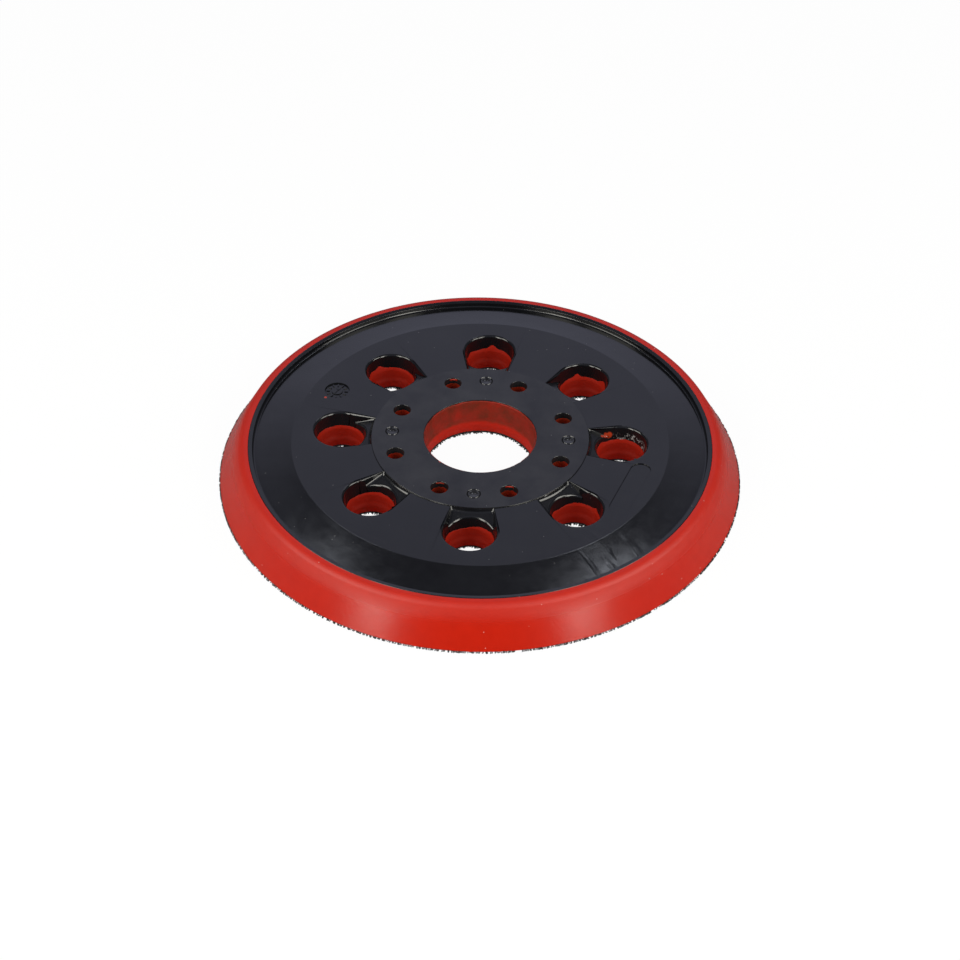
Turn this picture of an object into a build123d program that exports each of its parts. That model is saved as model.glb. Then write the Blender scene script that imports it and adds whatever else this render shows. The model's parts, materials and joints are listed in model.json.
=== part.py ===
from build123d import *
from math import asin, atan2, cos, hypot, radians, sin, sqrt, tan
import os

# Backing pad of an orbital sander: moulded plate, cast foam and hook sheet.
# Millimetres. +Z up, origin on the axis at the underside of the hook sheet.
# Dust port number one lies on +X; the screw holes lie midway between ports.

# Overall
pad_diameter = 125.0
hook_thickness = 0.8
hook_overhang = 0.4
rim_height = 9.8

# Backing plate
plate_wall = 2.3
hub_diameter = 52.0
hub_rise = 0.25
bore_diameter = 27.0
bore_collar_wall = 2.0
bore_collar_depth = 5.5

# Rim and trough of the plate
rim_land = 0.85
rim_draft = 0.25
trough_depth = 1.35
trough_run = 9.2
trough_fillet = 0.8

# Screw holes
screw_count = 8
screw_inset = 4.87
screw_hole_diameter = 4.1
screw_access_diameter = 9.0

# Dust ports
port_count = 8
port_gap = 1.38
port_top_diameter = 12.5
port_narrowing = 0.6
port_depth = 3.5
port_collar_wall = 1.6
pocket_mouth = 9.94
pocket_draft = 20.0
pocket_start_depth = 0.75
ramp_angle = 16.0
pocket_inset = 0.02

# Foam
flank_angle = 61.0
ledge_width = 1.867
shoulder_radius = 2.0
ledge_drop = 0.1
lining_thickness = 0.3
foam_port_step = 0.15
port_neck_step = 0.5
port_neck_depth = 7.5
port_neck_rise = 1.1
bore_neck_step = 0.3
bore_neck_depth = 7.0
bore_neck_rise = 1.6

# Values that follow from the sizes above
foam_bottom = hook_thickness
ledge_z = rim_height - ledge_drop
foam_base_r = pad_diameter / 2 - hook_overhang
flank_top_r = foam_base_r - (ledge_z - foam_bottom) / tan(radians(flank_angle))
rim_r = flank_top_r - ledge_width
hub_r = hub_diameter / 2
bore_r = bore_diameter / 2
trough_outer_r = rim_r - rim_land - rim_draft
trough_inner_r = trough_outer_r - trough_run
trough_slope = atan2(trough_depth, trough_run)
under_shift = plate_wall * tan(trough_slope / 2)
skirt_depth = trough_depth + plate_wall
hub_top = rim_height + hub_rise
web_bottom = rim_height - plate_wall
throat_bottom = rim_height - port_depth
screw_r = hub_r - screw_inset
port_top_r = port_top_diameter / 2
port_throat_r = port_top_r - port_narrowing
port_r = hub_r + port_gap + port_top_r
foam_port_r = port_throat_r - foam_port_step
port_neck_r = foam_port_r - port_neck_step
port_neck_z = rim_height - port_neck_depth
lining_r = bore_r - lining_thickness
bore_neck_r = lining_r - bore_neck_step
bore_neck_z = rim_height - bore_neck_depth
port_span = 360 / port_count
over = 1.0

# Dust pocket: the flared mouth over one port, with a floor that ramps down from the hub edge
mouth_half = pocket_mouth / 2
mouth_x = sqrt(hub_r**2 - mouth_half**2)
pocket_end_r = port_top_r - pocket_inset
reach = hypot(port_r - mouth_x, mouth_half)
lean = asin(pocket_end_r / reach) - atan2(mouth_half, port_r - mouth_x)
tangent_x = port_r - pocket_end_r * sin(lean)
tangent_y = pocket_end_r * cos(lean)
ramp_normal = (sin(radians(ramp_angle)), 0, cos(radians(ramp_angle)))

with BuildPart() as pocket:
    with BuildSketch(Plane.XY.offset(rim_height)):
        with BuildLine():
            ThreePointArc((mouth_x, -mouth_half), (hub_r, 0), (mouth_x, mouth_half))
            Line((mouth_x, mouth_half), (tangent_x, tangent_y))
            ThreePointArc((tangent_x, tangent_y), (port_r + pocket_end_r, 0), (tangent_x, -tangent_y))
            Line((tangent_x, -tangent_y), (mouth_x, -mouth_half))
        make_face()
    extrude(amount=-port_depth, taper=pocket_draft)
    ramp = Plane(origin=(hub_r, 0, rim_height - pocket_start_depth), z_dir=ramp_normal)
    split(bisect_by=ramp, keep=Keep.TOP)

# Round form of the plate with its collars, before the ports and screw holes
with BuildPart() as plate_blank:
    with BuildSketch(Plane.XZ):
        with BuildLine():
            Polyline(
                (bore_r, hub_top),
                (hub_r, hub_top),
                (hub_r, rim_height),
                (trough_inner_r, rim_height),
                (trough_outer_r, rim_height - trough_depth),
                (rim_r - rim_land, rim_height),
                (rim_r, rim_height),
                (rim_r, rim_height - skirt_depth),
                (trough_outer_r - under_shift, rim_height - skirt_depth),
                (trough_inner_r - under_shift, web_bottom),
                (bore_r + bore_collar_wall, web_bottom),
                (bore_r + bore_collar_wall, rim_height - bore_collar_depth),
                (bore_r, rim_height - bore_collar_depth),
                close=True,
            )
        make_face()
    revolve(axis=Axis.Z)
    trough_z = rim_height - trough_depth
    fillet(plate_blank.edges().filter_by_position(Axis.Z, trough_z, trough_z), trough_fillet)
    with BuildSketch(Plane.XY.offset(web_bottom)):
        with PolarLocations(port_r, port_count):
            Circle(port_throat_r + port_collar_wall)
    extrude(amount=-(port_depth - plate_wall))

# Backing plate
with BuildPart() as backing_plate:
    add(plate_blank.part)
    with Locations((0, 0, rim_height)):
        with PolarLocations(port_r, port_count):
            Cone(
                bottom_radius=port_throat_r,
                top_radius=port_top_r,
                height=port_depth,
                align=(Align.CENTER, Align.CENTER, Align.MAX),
                mode=Mode.SUBTRACT,
            )
    with PolarLocations(0, port_count):
        add(pocket.part, mode=Mode.SUBTRACT)
    with BuildSketch(Plane.XY.offset(web_bottom)):
        with PolarLocations(screw_r, screw_count, start_angle=port_span / 2):
            Circle(screw_hole_diameter / 2)
    extrude(amount=plate_wall + hub_rise, mode=Mode.SUBTRACT)

backing_plate.part.label = "backing_plate"

# Core that forms one dust hole in the foam, which narrows to a neck near the hook sheet
with BuildPart() as port_core:
    with BuildSketch(Plane.XZ):
        with BuildLine():
            Polyline(
                (0, throat_bottom),
                (port_throat_r, throat_bottom),
                (foam_port_r, port_neck_z + port_neck_rise),
                (port_neck_r, port_neck_z),
                (port_neck_r, foam_bottom - over),
                (0, foam_bottom - over),
                close=True,
            )
        make_face()
    revolve(axis=Axis.Z)

# Foam pad: one revolved body that is cut back to the underside of the plate
inside_rim_r = rim_r - rim_land / 2
inside_skirt = rim_height - trough_depth - plate_wall / 2
inside_web = rim_height - plate_wall / 2
inside_collar_r = bore_r + bore_collar_wall / 2

with BuildPart() as foam_pad:
    with BuildSketch(Plane.XZ):
        with BuildLine():
            Polyline(
                (lining_r, bore_neck_z + bore_neck_rise),
                (lining_r, ledge_z),
                (inside_collar_r, ledge_z),
                (inside_collar_r, inside_web),
                (trough_inner_r - under_shift / 2, inside_web),
                (trough_outer_r - under_shift / 2, inside_skirt),
                (inside_rim_r, inside_skirt),
                (inside_rim_r, ledge_z),
                (flank_top_r, ledge_z),
                (foam_base_r, foam_bottom),
                (bore_neck_r, foam_bottom),
                (bore_neck_r, bore_neck_z),
                close=True,
            )
        make_face()
    revolve(axis=Axis.Z)
    ledge_edges = foam_pad.edges().filter_by_position(Axis.Z, ledge_z, ledge_z)
    fillet(ledge_edges.sort_by(SortBy.RADIUS)[-1], shoulder_radius)
    add(plate_blank.part, mode=Mode.SUBTRACT)
    with PolarLocations(port_r, port_count):
        add(port_core.part, mode=Mode.SUBTRACT)
    with BuildSketch(Plane.XY.offset(foam_bottom)):
        with PolarLocations(screw_r, screw_count, start_angle=port_span / 2):
            Circle(screw_access_diameter / 2)
    extrude(amount=web_bottom - foam_bottom, mode=Mode.SUBTRACT)

foam_pad.part.label = "foam_pad"

# Hook sheet, punched in line with the foam's holes
with BuildPart() as hook_face:
    with BuildSketch():
        Circle(pad_diameter / 2)
        Circle(bore_neck_r, mode=Mode.SUBTRACT)
        with PolarLocations(port_r, port_count):
            Circle(port_neck_r, mode=Mode.SUBTRACT)
        with PolarLocations(screw_r, screw_count, start_angle=port_span / 2):
            Circle(screw_access_diameter / 2, mode=Mode.SUBTRACT)
    extrude(amount=hook_thickness)

hook_face.part.label = "hook_face"

os.makedirs("parts", exist_ok=True)
export_step(backing_plate.part, "parts/backing_plate.step")
export_step(foam_pad.part, "parts/foam_pad.step")
export_step(hook_face.part, "parts/hook_face.step")
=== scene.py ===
import json
import random
from math import asin, atan2, cos, degrees, exp, hypot, pi, radians, sin, sqrt, tan, tau

import bmesh
import bpy
from bmesh.types import BMEdge, BMVert
from bpy.props import FloatProperty, FloatVectorProperty, IntProperty, PointerProperty
from mathutils import Matrix, Vector, noise


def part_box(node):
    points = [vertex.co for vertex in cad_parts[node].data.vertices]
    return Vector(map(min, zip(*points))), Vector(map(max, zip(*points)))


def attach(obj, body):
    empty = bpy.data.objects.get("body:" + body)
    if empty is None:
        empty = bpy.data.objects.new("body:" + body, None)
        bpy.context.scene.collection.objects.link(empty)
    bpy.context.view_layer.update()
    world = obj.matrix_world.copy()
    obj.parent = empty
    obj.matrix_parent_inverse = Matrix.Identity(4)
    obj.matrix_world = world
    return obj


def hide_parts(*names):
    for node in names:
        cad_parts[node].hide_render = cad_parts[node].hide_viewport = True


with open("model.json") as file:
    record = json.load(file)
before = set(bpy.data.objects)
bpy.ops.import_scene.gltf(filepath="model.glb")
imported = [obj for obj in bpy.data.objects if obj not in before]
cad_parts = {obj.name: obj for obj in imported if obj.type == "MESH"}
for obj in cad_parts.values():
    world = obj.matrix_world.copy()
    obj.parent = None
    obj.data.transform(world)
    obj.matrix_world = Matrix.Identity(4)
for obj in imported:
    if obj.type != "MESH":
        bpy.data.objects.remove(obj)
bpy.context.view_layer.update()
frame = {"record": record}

bl_info = {
    "name": "Sander backing pad",
    "version": (1, 0, 0),
    "blender": (4, 5, 0),
    "location": "3D View > Sidebar > Pad",
    "description": "Finishes the backing pad of an orbital sander: plate, foam, hook sheet and stage",
    "category": "Object",
}

MM = 0.001
MICRON = 0.000001
OVER = 1 * MM  # how far a tool runs past what it cuts
SKIM = 0.1 * MM  # how far a shallow tool stands above the face that it cuts
UP = Vector((0, 0, 1))
ORIGIN = Vector((0, 0, 0))
BODY = "root"

plate_low, plate_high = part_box("backing_plate")
foam_low, foam_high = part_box("foam_pad")
hook_low, hook_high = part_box("hook_face")
mounts = {mount["name"]: mount["dims"] for mount in frame["record"]["mounts"] if mount.get("dims")}
screws = mounts["fixing_screws"]


def length(name, description, default):
    """A size in metres that the user can change."""
    return FloatProperty(name=name, description=description, default=default, unit="LENGTH", precision=5)


def angle(name, description, default):
    """An angle, given in degrees, that the user can change."""
    return FloatProperty(name=name, description=description, default=radians(default), unit="ROTATION")


def lamp_power(name, description, default):
    """A lamp's power in watts that the user can change."""
    return FloatProperty(name=name, description=description, default=default, min=0, subtype="POWER")


def amount(name, description, default):
    """A brightness or a share that the user can change."""
    return FloatProperty(name=name, description=description, default=default, min=0)


def colour(name, description, default):
    """A linear colour that the user can change."""
    return FloatVectorProperty(
        name=name, description=description, default=default, size=3, min=0, max=1, subtype="COLOR"
    )


class PlateSizes(bpy.types.PropertyGroup):
    """Sizes of the moulded plate."""

    rim_radius: length("Rim radius", "Outer radius of the plate", plate_high.x)
    rim_height: length("Rim height", "Height of the rim and the flat above the floor", 9.8 * MM)
    hub_top: length("Hub top", "Height of the raised hub above the floor", plate_high.z)
    hub_radius: length("Hub radius", "Radius of the raised hub", 26 * MM)
    bore_radius: length("Bore radius", "Radius of the hole in the plate", 13.5 * MM)
    wall: length("Wall", "Wall of the moulding", 2.3 * MM)
    collar_wall: length("Collar wall", "Wall of the collar under the bore", 2 * MM)
    collar_depth: length("Collar depth", "Depth of the collar below the rim", 5.5 * MM)
    land: length("Rim land", "Width of the top of the rim", 1.05 * MM)
    land_fall: length("Land fall", "Fall of the rim's top towards the trough", 0.2 * MM)
    draft: length("Rim draft", "Lean of the wall inside the rim", 0.05 * MM)
    trough_depth: length("Trough depth", "Depth of the trough below the rim", 1.35 * MM)
    trough_run: length("Trough run", "Width of the slope that falls into the trough", 9.2 * MM)
    trough_fillet: length("Trough fillet", "Round between the slope and the rim", 0.4 * MM)
    sink: length("Slope sink", "How far the middle of the slope sinks below a straight line", 0.06 * MM)
    edge: length("Edge", "Rounding of the moulded edges", 0.14 * MM)
    port_edge: length("Port edge", "Rounding of the edges of the ports and pockets", 0.5 * MM)
    mark_circle: length("Mark circle", "Radius of the circle that the round marks stand on", 21.1 * MM)
    mark_radius: length("Mark", "Radius of a round mark on the hub", 1.75 * MM)
    dial_x: length("Dial X", "Place of the mould's date dial", -36.2 * MM)
    dial_y: length("Dial Y", "Place of the mould's date dial", 14.8 * MM)
    dial_radius: length("Dial", "Radius of the mould's date dial", 3 * MM)
    label_x: length("Label X", "Middle of the sunk label field", 36.0 * MM)
    label_y: length("Label Y", "Middle of the sunk label field", -16.1 * MM)
    label_turn: angle("Label turn", "Turn of the sunk label field", -19.2)
    label_length: length("Label length", "Length of the sunk label field", 19.3 * MM)
    label_width: length("Label width", "Width of the sunk label field", 4.9 * MM)
    sunk: length("Sunk", "Depth of the marks and the label field", 0.24 * MM)
    turns: IntProperty(name="Facets", description="Facets round the plate", default=320, min=32)


class PortSizes(bpy.types.PropertyGroup):
    """Sizes of the dust ports and screw holes."""

    count: IntProperty(name="Ports", description="Number of dust ports and of screw holes", default=8, min=3)
    circle: length("Port circle", "Radius of the circle that the ports stand on", 33.63 * MM)
    top_radius: length("Port top", "Radius of a port at the flat", 6.25 * MM)
    throat_radius: length("Port throat", "Radius of a port at the foot of its wall", 5.65 * MM)
    depth: length("Port depth", "Depth of a port's wall below the flat", 3.5 * MM)
    foot: length("Port foot", "How far a port's wall runs on behind the foam's skin", 0.7 * MM)
    collar_wall: length("Port collar", "Wall of the collar below a port", 1.6 * MM)
    mouth: length("Pocket mouth", "Width of the pocket at the hub", 9.94 * MM)
    mouth_gap: length("Mouth gap", "Gap between the hub's edge and the pocket", 0.03 * MM)
    start: length("Ramp start", "Depth of the ramp where it leaves the hub", 0.75 * MM)
    ramp: angle("Ramp angle", "Fall of the pocket's floor", 16)
    draft: angle("Draft", "Lean of the pocket's walls", 20)
    screw_circle: length("Screw circle", "Radius of the screw holes' circle", screws["pcd_mm"] / 2 * MM)
    screw_radius: length("Screw hole", "Radius of a screw hole", screws["hole_r_mm"] * MM)


class FoamSizes(bpy.types.PropertyGroup):
    """Sizes of the cast foam."""

    base_radius: length("Base radius", "Radius of the foam at the hook sheet", foam_high.x)
    bottom: length("Bottom", "Height of the foam's underside", foam_low.z)
    ledge: length("Ledge", "Height of the foam's top face beside the rim", 9.7 * MM)
    flank: angle("Flank angle", "Rise of the foam's flank", 61)
    shoulder: length("Shoulder", "Radius of the round between ledge and flank", 2 * MM)
    lap_radius: length("Lap radius", "Radius of the lip that laps over the hook sheet", 62.5 * MM)
    lap_height: length("Lap height", "Height of the lip's edge above the floor", 0.45 * MM)
    lining: length("Lining", "Wall of the foam inside the bore", 0.3 * MM)
    lining_gap: length("Lining gap", "Depth of the lining's edge below the hub", 0.2 * MM)
    port_radius: length("Foam port", "Radius of the dust holes in the foam", 5.5 * MM)
    port_neck: length("Port neck", "Radius of the dust holes at the hook sheet", 5 * MM)
    port_neck_height: length("Port neck height", "Height of the port's neck above the floor", 2.3 * MM)
    port_neck_rise: length("Port neck rise", "Height of the slope above the port's neck", 1.1 * MM)
    bore_neck: length("Bore neck", "Radius of the bore at the hook sheet", 12.9 * MM)
    bore_neck_height: length("Bore neck height", "Height of the bore's neck above the floor", 2.8 * MM)
    bore_neck_rise: length("Bore neck rise", "Height of the slope above the bore's neck", 1.6 * MM)
    access_radius: length("Screw access", "Radius of the holes below the screws", 4.5 * MM)
    skin: length("Skin", "Thickness of the skin that crept up the holes when the foam was cast", 0.06 * MM)
    turns: IntProperty(name="Facets", description="Facets round the foam", default=384, min=32)


class HookSizes(bpy.types.PropertyGroup):
    """Sizes of the hook sheet."""

    radius: length("Sheet radius", "Radius of the hook sheet", hook_high.x)
    top: length("Sheet top", "Height of the sheet's glued face", hook_high.z)
    web: length("Web", "Thickness of the sheet without its hooks", 0.45 * MM)
    pitch: length("Pitch", "Distance between hooks", 1.5 * MM)
    edge_pitch: length("Edge pitch", "Distance between the frayed hooks along an edge", 0.25 * MM)
    fray: length("Fray", "How far the frayed hooks reach past the sheet's rim", 0.22 * MM)
    stem: length("Stem", "Thickness of one hook", 0.2 * MM)


class PadColours(bpy.types.PropertyGroup):
    """Colours of the pad's materials."""

    nylon: colour("Nylon", "Black of the moulded plate", (0.0032, 0.0033, 0.0040))
    nylon_cloud: colour("Nylon clouds", "Paler flow marks in the plate", (0.0050, 0.0052, 0.0062))
    hub_cloud: colour("Hub clouds", "Paler flow marks in the hub", (0.0140, 0.0140, 0.0150))
    # Pale colour of real dust specks; in the scuff lines on the front of the slope it is partly painted sheen
    dust_and_sheen: colour("Dust", "Pale dust and scuffs on the plate", (0.090, 0.090, 0.090))
    foam: colour("Foam", "Red of the cast foam", (0.370, 0.0088, 0.0008))
    foam_deep: colour("Foam, deep", "Darker red in the foam's mottling", (0.345, 0.0080, 0.0007))
    # The lining's dull red is partly a thin skin over the black plate and partly painted shade inside the
    # ports and holes
    lining: colour("Lining", "Dull red of the thin lining in the holes", (0.270, 0.0075, 0.0008))
    lining_stain: colour("Lining stain", "Brown stains in the lining", (0.110, 0.0115, 0.0020))
    stray: colour("Stray foam", "Orange red of the foam strayed on to the plate", (0.270, 0.0270, 0.0090))
    # Painted glints: a pale colour that stands for the sparkle of light on the wrinkled dark film in one port
    film_glint: colour("Flakes", "Pale flakes on the dark film in one port", (0.30, 0.28, 0.28))
    speck: colour("Specks", "Pale specks of dust on the foam", (0.5, 0.3, 0.28))
    hooks: colour("Hooks", "Black of the hook sheet", (0.0070, 0.0070, 0.0075))
    hooks_pale: colour("Hooks, pale", "Paler tone in the hook sheet", (0.02, 0.02, 0.021))


class StageSettings(bpy.types.PropertyGroup):
    """Camera and light."""

    lens: FloatProperty(name="Lens", description="Focal length in millimetres", default=75.30)
    distance: length("Distance", "Camera to the middle of the rim", 479.6 * MM)
    azimuth: angle("Azimuth", "Turn of the camera about the pad", 3.6244)
    elevation: angle("Elevation", "Camera's height above the rim", 39.7328)
    yaw: angle("Yaw", "Aim to the right of the pad's middle", 0.0086)
    pitch: angle("Pitch", "Aim above the pad's middle", -1.2482)
    roll: angle("Roll", "Turn of the camera about its own axis", 0.6355)
    lamp_distance: length("Lamp distance", "Lamps to the middle of the rim", 550 * MM)
    side_elevation: angle("Side lamp height", "Elevation of the key and fill lamps", 33)
    key_power: lamp_power("Key", "Power of each key lamp", 1.65)
    key_width: length("Key width", "Width of each key lamp", 145 * MM)
    key_height: length("Key height", "Height of each key lamp", 430 * MM)
    key_turn: angle("Key turn", "Turn of the key lamps from the camera", 41)
    fill_power: lamp_power("Fill", "Power of each fill lamp", 1.60)
    fill_width: length("Fill width", "Width of each fill lamp", 250 * MM)
    fill_height: length("Fill height", "Height of each fill lamp", 300 * MM)
    fill_turn: angle("Fill turn", "Turn of the fill lamps from the camera", 72)
    back_power: lamp_power("Back", "Power of the right back lamp", 0.095)
    back_share: amount("Left back share", "Power of the left back lamp as a share of the right one's", 0.45)
    back_size: length("Back size", "Width of each back lamp", 70 * MM)
    back_turn: angle("Back turn", "Turn of the back lamps from the camera", 161)
    back_lean: angle("Back lean", "Turn of the left back lamp towards the camera", 2)
    back_drop: angle("Back drop", "How much lower the left back lamp stands", 2)
    back_elevation: angle("Back lamp height", "Elevation of the back lamps", 54)
    warm: colour("Warm", "Colour of the key and fill lamps", (1, 0.985, 0.90))
    cool: colour("Cool", "Colour of the back lamps", (0.85, 0.90, 1))
    room_tint: colour("Room tint", "Colour of the light from the room", (0.75, 0.77, 1))
    room: amount("Room", "Brightness of the room round the pad", 0.15)
    front: amount("Front", "Brightness of the room behind the camera", 0.05)
    roof: amount("Roof", "Brightness of the soft light overhead", 0.35)
    roof_tilt: angle("Roof tilt", "Lean of the light overhead towards the camera", 20)
    roof_reach: angle("Roof reach", "Angle from the middle of the light overhead to its edge", 33)
    glow: amount("Glow", "Brightness of the glow behind the pad", 0.68)
    glow_elevation: angle("Glow height", "Elevation of the middle of the glow", 26)
    glow_core: angle("Glow core", "Angle from the middle of the glow to where it starts to fade", 14)
    glow_reach: angle("Glow reach", "Angle from the middle of the glow to its edge", 33)
    floor_white: amount("Floor white", "How far the floor that the camera sees is plain white", 0.96)
    floor_mirror: amount("Floor mirror", "How far reflections see the floor in a darker shade", 0.7)


class PadSettings(bpy.types.PropertyGroup):
    """Everything that the pad's operators read."""

    plate: PointerProperty(type=PlateSizes)
    ports: PointerProperty(type=PortSizes)
    foam: PointerProperty(type=FoamSizes)
    hooks: PointerProperty(type=HookSizes)
    colours: PointerProperty(type=PadColours)
    stage: PointerProperty(type=StageSettings)


# Mesh helpers


def section_wire(bm, corners):
    """Draw a closed section in the XZ plane from (radius, height, rounding) corners."""
    verts = [bm.verts.new((radius, 0, height)) for radius, height, _ in corners]
    for start, end in zip(verts, verts[1:] + verts[:1]):
        bm.edges.new((start, end))
    for vert, (_, _, rounding) in zip(verts, corners):
        if rounding > 0:
            bmesh.ops.bevel(
                bm,
                geom=[vert],
                offset=rounding,
                offset_type="OFFSET",
                affect="VERTICES",
                segments=8 if rounding > 0.4 * MM else 4,
                profile=0.5,
                material=-1,
            )


def spin_all(bm, turn, steps, copies):
    """Spin everything in a bmesh about the pad's axis, into one surface or into separate copies."""
    bmesh.ops.spin(
        bm,
        geom=bm.verts[:] + bm.edges[:] + bm.faces[:],
        cent=ORIGIN,
        axis=UP,
        dvec=ORIGIN,
        angle=turn,
        steps=steps,
        use_merge=not copies,
        use_duplicate=copies,
    )


def turn_round(bm, steps):
    """Spin everything in a bmesh once round the pad's axis."""
    spin_all(bm, tau, steps, copies=False)


def repeat_round(bm, count):
    """Copy everything in a bmesh to evenly spaced places round the pad's axis."""
    spin_all(bm, tau * (count - 1) / count, count - 1, copies=True)


def round_place(radius, turn):
    """The place at a radius and a turn about the pad's axis."""
    return Matrix.Rotation(turn, 3, "Z") @ Vector((radius, 0, 0))


def around(middle, radius, turn, height):
    """The point at a radius, a turn and a height about the upright axis through a middle."""
    return middle + Vector((radius * cos(turn), radius * sin(turn), height))


def of_kind(geom, kind):
    """The points or the edges among the parts that a bmesh operator returns."""
    return [item for item in geom if isinstance(item, kind)]


def close_up(bm):
    """Merge doubled points and turn every face outwards."""
    bmesh.ops.remove_doubles(bm, verts=bm.verts[:], dist=MICRON)
    bmesh.ops.recalc_face_normals(bm, faces=bm.faces[:])


def to_mesh(bm, name):
    """Write a bmesh to a new mesh and free it."""
    mesh = bpy.data.meshes.new(name)
    bm.to_mesh(mesh)
    bm.free()
    return mesh


def turned(name, corners, steps):
    """A closed solid of revolution from a section."""
    bm = bmesh.new()
    section_wire(bm, corners)
    turn_round(bm, steps)
    close_up(bm)
    return to_mesh(bm, name)


def turned_tools(name, sections, steps, place, count):
    """Like solids of revolution, evenly spaced round the pad from a first place, as one mesh to cut with."""
    bm = bmesh.new()
    for corners in sections:
        section_wire(bm, corners)
    turn_round(bm, steps)
    close_up(bm)
    bmesh.ops.translate(bm, verts=bm.verts[:], vec=place)
    repeat_round(bm, count)
    return to_mesh(bm, name)


def carve(mesh, tools, operation="DIFFERENCE"):
    """Cut each tool mesh out of a mesh in turn, or join it to the mesh, and return the result."""
    for tool in tools:
        body = bpy.data.objects.new("carved", mesh)
        cutter = bpy.data.objects.new("cutter", tool)
        for item in (body, cutter):
            bpy.context.scene.collection.objects.link(item)
        cut = body.modifiers.new("cut", "BOOLEAN")
        cut.operation = operation
        cut.solver = "EXACT"
        cut.object = cutter
        depsgraph = bpy.context.evaluated_depsgraph_get()
        carved = bpy.data.meshes.new_from_object(body.evaluated_get(depsgraph))
        for item in (body, cutter):
            bpy.data.objects.remove(item)
        bpy.data.meshes.remove(tool)
        bpy.data.meshes.remove(mesh)
        mesh = carved
    mesh.materials.clear()
    return mesh


def add_piece(name, mesh, materials, nodes=(), smooth=40, weighted=True):
    """Place a finished mesh on the pad, with its materials and the nodes that it stands for."""
    if not mesh.polygons:
        raise RuntimeError(f"{name} has no faces")
    mesh.name = name
    for material in materials:
        mesh.materials.append(material)
    mesh.shade_smooth()
    mesh.set_sharp_from_angle(angle=radians(smooth))
    piece = bpy.data.objects.new(name, mesh)
    bpy.context.scene.collection.objects.link(piece)
    if weighted:
        normals = piece.modifiers.new("normals", "WEIGHTED_NORMAL")
        normals.weight = 100
        normals.keep_sharp = True
    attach(piece, BODY)
    if nodes:
        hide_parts(*nodes)
    return piece


# Moulded plate


def plate_underside(sizes):
    """Corners of the plate's underside, which the foam fills, from the rim in to the bore."""
    trough_r = sizes.rim_radius - sizes.land - sizes.draft
    flat_r = trough_r - sizes.trough_run
    shift = sizes.wall * tan(atan2(sizes.trough_depth, sizes.trough_run) / 2)
    skirt = sizes.rim_height - sizes.trough_depth - sizes.wall
    web = sizes.rim_height - sizes.wall
    collar_r = sizes.bore_radius + sizes.collar_wall
    collar_foot = sizes.rim_height - sizes.collar_depth
    return [
        (sizes.rim_radius, skirt, 0),
        (trough_r - shift, skirt, 0),
        (flat_r - shift, web, 0),
        (collar_r, web, 0),
        (collar_r, collar_foot, 0),
        (sizes.bore_radius, collar_foot, 0),
    ]


def plate_section(sizes):
    """Corners of the plate's section, from the top of the bore out to the rim and back underneath."""
    top = sizes.rim_height
    land_r = sizes.rim_radius - sizes.land
    trough_r = land_r - sizes.draft
    flat_r = trough_r - sizes.trough_run
    slope = atan2(sizes.trough_depth, sizes.trough_run)
    corner = (pi / 2 + slope - atan2(sizes.draft, sizes.trough_depth)) / 2
    slope_middle = (trough_r - sizes.trough_run / 2, top - sizes.trough_depth / 2 - 2 * sizes.sink)
    edge = sizes.edge
    return [
        (sizes.bore_radius, sizes.hub_top, 0.7 * edge),
        (sizes.hub_radius, sizes.hub_top, 0.8 * edge),
        (sizes.hub_radius, top, 0.3 * edge),
        (flat_r, top, 0.5 * edge),
        (*slope_middle, 0.44 * sizes.trough_run),
        (trough_r, top - sizes.trough_depth, sizes.trough_fillet * tan(corner)),
        (land_r, top - sizes.land_fall, 0.4 * edge),
        (sizes.rim_radius, top, 1.5 * edge),
        *plate_underside(sizes),
    ]


def swept_arc(bm, start, centre, turn, steps):
    """Sweep a point about an upright axis, and return the point where it ends."""
    swept = bmesh.ops.spin(
        bm, geom=[start], cent=centre, axis=UP, dvec=ORIGIN, angle=turn, steps=steps, use_merge=False
    )
    return of_kind(swept["geom_last"], BMVert)[0]


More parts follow.
